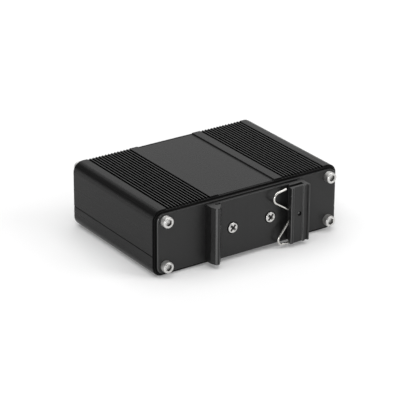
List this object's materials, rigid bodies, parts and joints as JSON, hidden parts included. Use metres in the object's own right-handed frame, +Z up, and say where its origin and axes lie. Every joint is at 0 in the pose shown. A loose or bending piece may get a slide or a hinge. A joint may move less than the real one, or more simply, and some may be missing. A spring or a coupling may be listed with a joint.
{
  "type": "ethernet media converter",
  "caption": "Flat ribbed metal box with a network socket and a twin fibre port on one end and a sprung rail clip on the other.",
  "frame": {"origin": "middle of the footprint of the whole part, on the surface that the case rests on", "axes": "+Z up, ports towards -Y, rail clip towards +Y, +X to the right seen from the ports"},
  "size_m": [0.089, 0.0718, 0.0282],
  "materials": {
    "casing": "black anodised extrusion",
    "panel": "black anodised, brushed",
    "gasket": "matt black rubber",
    "screws": "plain stainless steel",
    "clip": "black anodised extrusion",
    "spring": "bright spring wire",
    "nuts": "zinc plated",
    "board": "green solder mask on glass fibre laminate",
    "jack_shield": "tin plated sheet",
    "jack_insert": "black moulded plastic",
    "contacts": "gold plated",
    "transceiver": "black moulded plastic",
    "sleeves": "white ceramic",
    "pins": "tin plated",
    "header": "green moulded plastic",
    "lamp_holder": "black moulded plastic",
    "lamps": "tinted clear resin",
    "chips": "moulded package",
    "transformer": "moulded package",
    "inductor": "ferrite",
    "capacitors": "bare can",
    "crystal": "bare can"
  },
  "bodies": {
    "root": {"upper_casing": "casing", "lower_casing": "casing", "front_panel": "panel", "rear_panel": "panel", "front_gasket": "gasket", "rear_gasket": "gasket", "front_panel_screws": "screws", "rear_panel_screws": "screws", "clip_screws": "screws", "din_clip": "clip", "clip_spring": "spring", "clip_nuts": "nuts", "circuit_board": "board", "ethernet_jack_shield": "jack_shield", "ethernet_jack_insert": "jack_insert", "ethernet_jack_contacts": "contacts", "fibre_transceiver": "transceiver", "fibre_sleeves": "sleeves", "fibre_pins": "pins", "power_header": "header", "power_pins": "pins", "indicator_housing": "lamp_holder", "indicator_lamps": "lamps", "converter_chip": "chips", "memory_chip": "chips", "voltage_regulator": "chips", "isolation_transformer": "transformer", "power_inductor": "inductor", "supply_capacitors": "capacitors", "clock_crystal": "crystal"}
  },
  "joints": []
}
